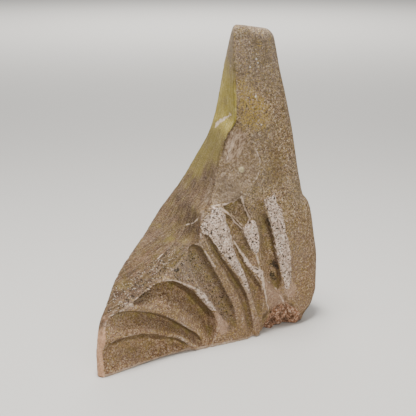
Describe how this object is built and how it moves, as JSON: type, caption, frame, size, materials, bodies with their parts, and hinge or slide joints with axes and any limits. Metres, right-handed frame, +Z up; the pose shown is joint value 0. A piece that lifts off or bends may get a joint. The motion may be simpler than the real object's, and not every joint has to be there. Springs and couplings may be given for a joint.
{
  "type": "arch keystone",
  "caption": "Carved granite keystone fragment: a plain tapering shaft rises from a toe carved with scrolled hollows and flutes, broken at one lower corner.",
  "frame": {"origin": "on the bed plane, under the middle of the stone's bounding box", "axes": "+Z up from the bed to the head of the shaft; the carved face looks to -Y; the toe points to -X"},
  "size_m": [0.5894, 0.274, 0.685],
  "materials": {
    "granite": "weathered, rough"
  },
  "bodies": {
    "root": {"keystone": "granite"}
  },
  "joints": []
}
